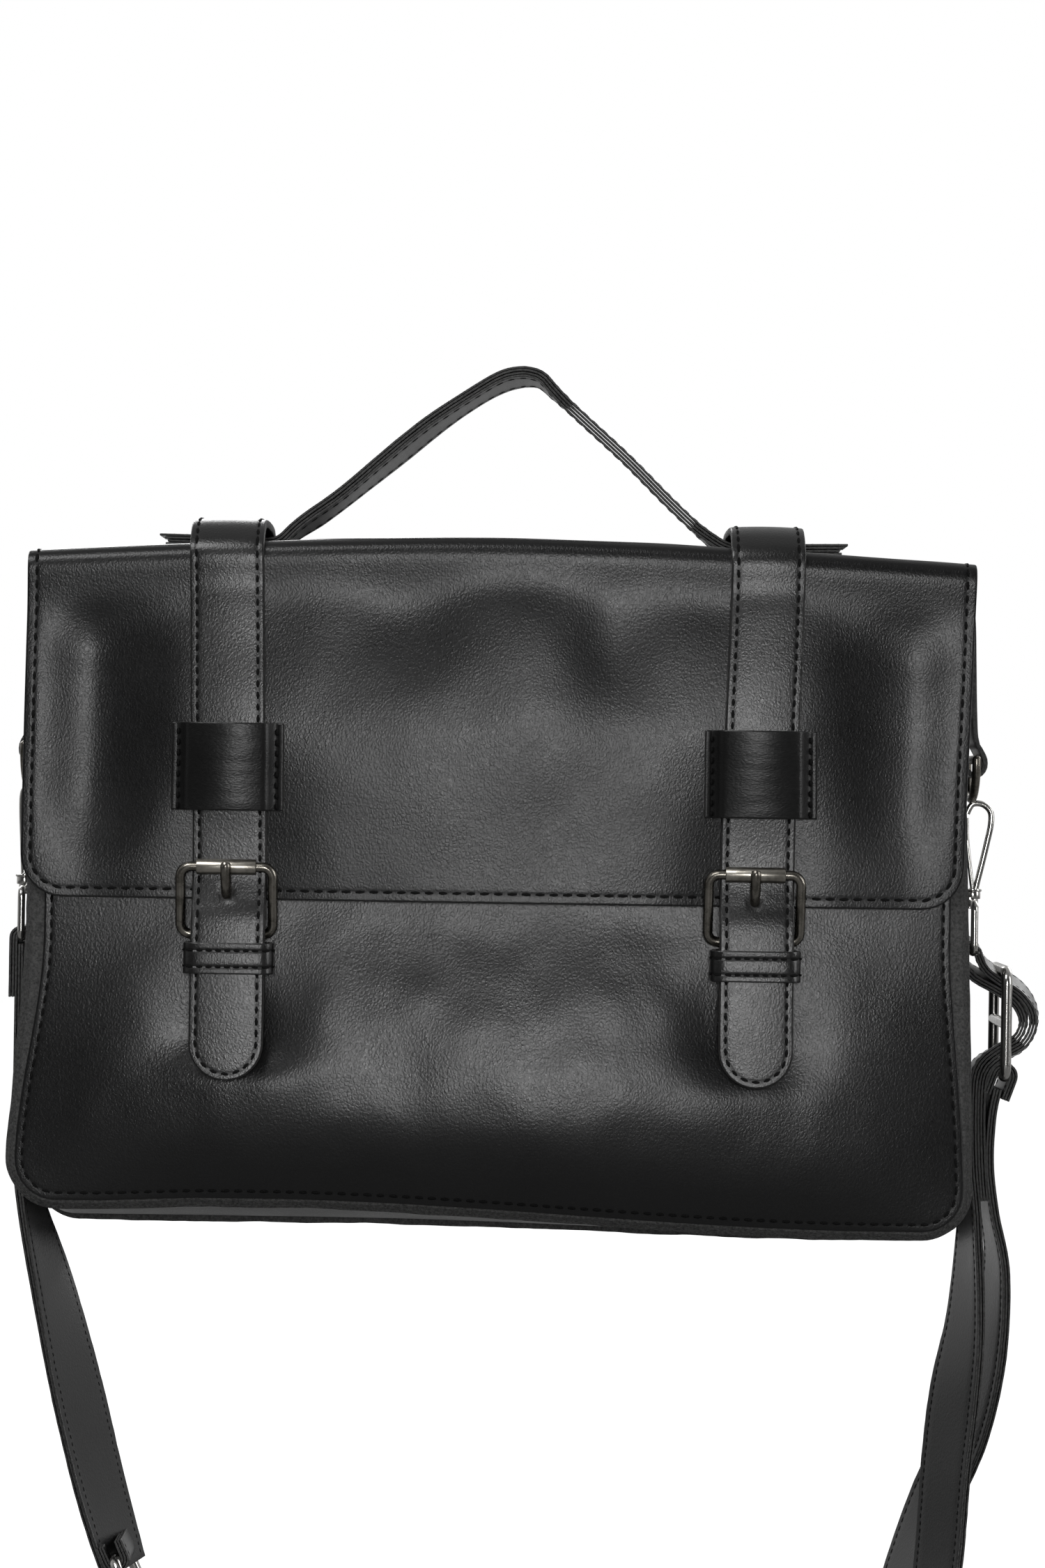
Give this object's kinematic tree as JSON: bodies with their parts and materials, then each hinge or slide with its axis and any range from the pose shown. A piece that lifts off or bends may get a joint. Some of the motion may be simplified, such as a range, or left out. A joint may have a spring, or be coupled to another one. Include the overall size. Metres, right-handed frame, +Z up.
{
  "type": "satchel bag",
  "caption": "Black leather satchel with a buckled flap, flat top handle and long clip-on shoulder sling, stored hanging from its handle.",
  "frame": {"origin": "underside of the handle at its highest point, where a hook carries it", "axes": "+Z up, -Y out of the bag's front, +X to the right seen from the front"},
  "size_m": [0.4195, 0.108, 0.6111],
  "materials": {
    "body_leather": "semi-gloss pebbled",
    "strap_leather": "semi-gloss fine grain",
    "cut_edge": "matt cut plies",
    "sling_leather": "satin",
    "lining_cloth": "matt woven",
    "board": "matt",
    "aged_metal": "aged nickel, polished highs",
    "bright_metal": "bright nickel",
    "snap_steel": "plain"
  },
  "bodies": {
    "bag": {"front_panel": "body_leather", "back_panel": "body_leather", "side_gusset": "body_leather", "front_seam_welt": "cut_edge", "back_seam_welt": "cut_edge", "lining": "lining_cloth", "base_board": "board", "side_tab_left": "strap_leather", "side_tab_right": "strap_leather", "magnet_socket_left": "snap_steel", "magnet_socket_right": "snap_steel"},
    "flap_back": {"flap_top": "body_leather", "front_strap_top_left": "strap_leather", "front_strap_top_right": "strap_leather", "handle_end_left": "cut_edge", "handle_end_right": "cut_edge"},
    "flap": {"flap_front": "body_leather", "front_strap_left": "strap_leather", "front_strap_right": "strap_leather", "strap_loop_left": "strap_leather", "strap_loop_right": "strap_leather", "buckle_frame_left": "aged_metal", "buckle_frame_right": "aged_metal", "buckle_chape_left": "strap_leather", "buckle_chape_right": "strap_leather", "keeper_left": "strap_leather", "keeper_right": "strap_leather", "magnet_stud_left": "snap_steel", "magnet_stud_right": "snap_steel"},
    "handle": {"handle_grip": "cut_edge"},
    "roller_left": {"buckle_roller_left": "aged_metal"},
    "roller_right": {"buckle_roller_right": "aged_metal"},
    "prong_left": {"buckle_prong_left": "aged_metal"},
    "prong_right": {"buckle_prong_right": "aged_metal"},
    "ring_left": {"d_ring_left": "bright_metal"},
    "ring_right": {"d_ring_right": "bright_metal"},
    "sling": {"sling_left": "sling_leather", "sling_right": "sling_leather", "sling_return": "sling_leather", "swivel_eye_left": "bright_metal", "swivel_eye_right": "bright_metal", "slide_upper": "bright_metal", "slide_lower": "bright_metal"},
    "hook_left": {"snap_hook_left": "bright_metal"},
    "hook_right": {"snap_hook_right": "bright_metal"},
    "gate_left": {"hook_gate_left": "bright_metal"},
    "gate_right": {"hook_gate_right": "bright_metal"}
  },
  "joints": [
    {"name": "flap_lift", "type": "hinge", "parent": "bag", "child": "flap_back", "pos_m": [-0.0075, 0.0428, -0.073], "axis": [-1, 0, 0], "range_deg": [0, 180]},
    {"name": "flap_fold", "type": "hinge", "parent": "flap_back", "child": "flap", "pos_m": [-0.0075, -0.0458, -0.07], "axis": [-1, 0, 0], "range_deg": [0, 90]},
    {"name": "handle_swing", "type": "hinge", "parent": "flap_back", "child": "handle", "pos_m": [-0.0075, 0, -0.0679], "axis": [1, 0, 0], "range_deg": [-60, 60], "stiffness_Nm_per_rad": 0.03},
    {"name": "roller_spin_left", "type": "hinge", "parent": "flap", "child": "roller_left", "pos_m": [-0.1125, -0.0533, -0.1986], "axis": [1, 0, 0], "continuous": true},
    {"name": "prong_lift_left", "type": "hinge", "parent": "flap", "child": "prong_left", "pos_m": [-0.1125, -0.04721, -0.22542], "axis": [1, 0, 0], "range_deg": [0, 12]},
    {"name": "ring_turn_left", "type": "hinge", "parent": "bag", "child": "ring_left", "pos_m": [-0.2, 0, -0.1515], "axis": [0, 1, 0], "range_deg": [-3, 3]},
    {"name": "roller_spin_right", "type": "hinge", "parent": "flap", "child": "roller_right", "pos_m": [0.0975, -0.0533, -0.1986], "axis": [1, 0, 0], "continuous": true},
    {"name": "prong_lift_right", "type": "hinge", "parent": "flap", "child": "prong_right", "pos_m": [0.0975, -0.04721, -0.22542], "axis": [1, 0, 0], "range_deg": [0, 12]},
    {"name": "ring_turn_right", "type": "hinge", "parent": "bag", "child": "ring_right", "pos_m": [0.185, 0, -0.1515], "axis": [0, 1, 0], "range_deg": [-3, 3]},
    {"name": "sling_swing", "type": "hinge", "parent": "bag", "child": "sling", "pos_m": [-0.0075, 0, -0.1525], "axis": [1, 0, 0], "range_deg": [-60, 60]},
    {"name": "hook_swivel_left", "type": "hinge", "parent": "sling", "child": "hook_left", "pos_m": [-0.2, 0, -0.205], "axis": [0, 0, 1], "range_deg": [-30, 30]},
    {"name": "gate_open_left", "type": "hinge", "parent": "hook_left", "child": "gate_left", "pos_m": [-0.1977, 0, -0.19805], "axis": [0, -1, 0], "range_deg": [0, 16], "stiffness_Nm_per_rad": 0.02, "springref_deg": -8.59},
    {"name": "hook_swivel_right", "type": "hinge", "parent": "sling", "child": "hook_right", "pos_m": [0.185, 0, -0.205], "axis": [0, 0, 1], "range_deg": [-30, 30]},
    {"name": "gate_open_right", "type": "hinge", "parent": "hook_right", "child": "gate_right", "pos_m": [0.1827, 0, -0.19805], "axis": [0, 1, 0], "range_deg": [0, 16], "stiffness_Nm_per_rad": 0.02, "springref_deg": -8.59}
  ]
}
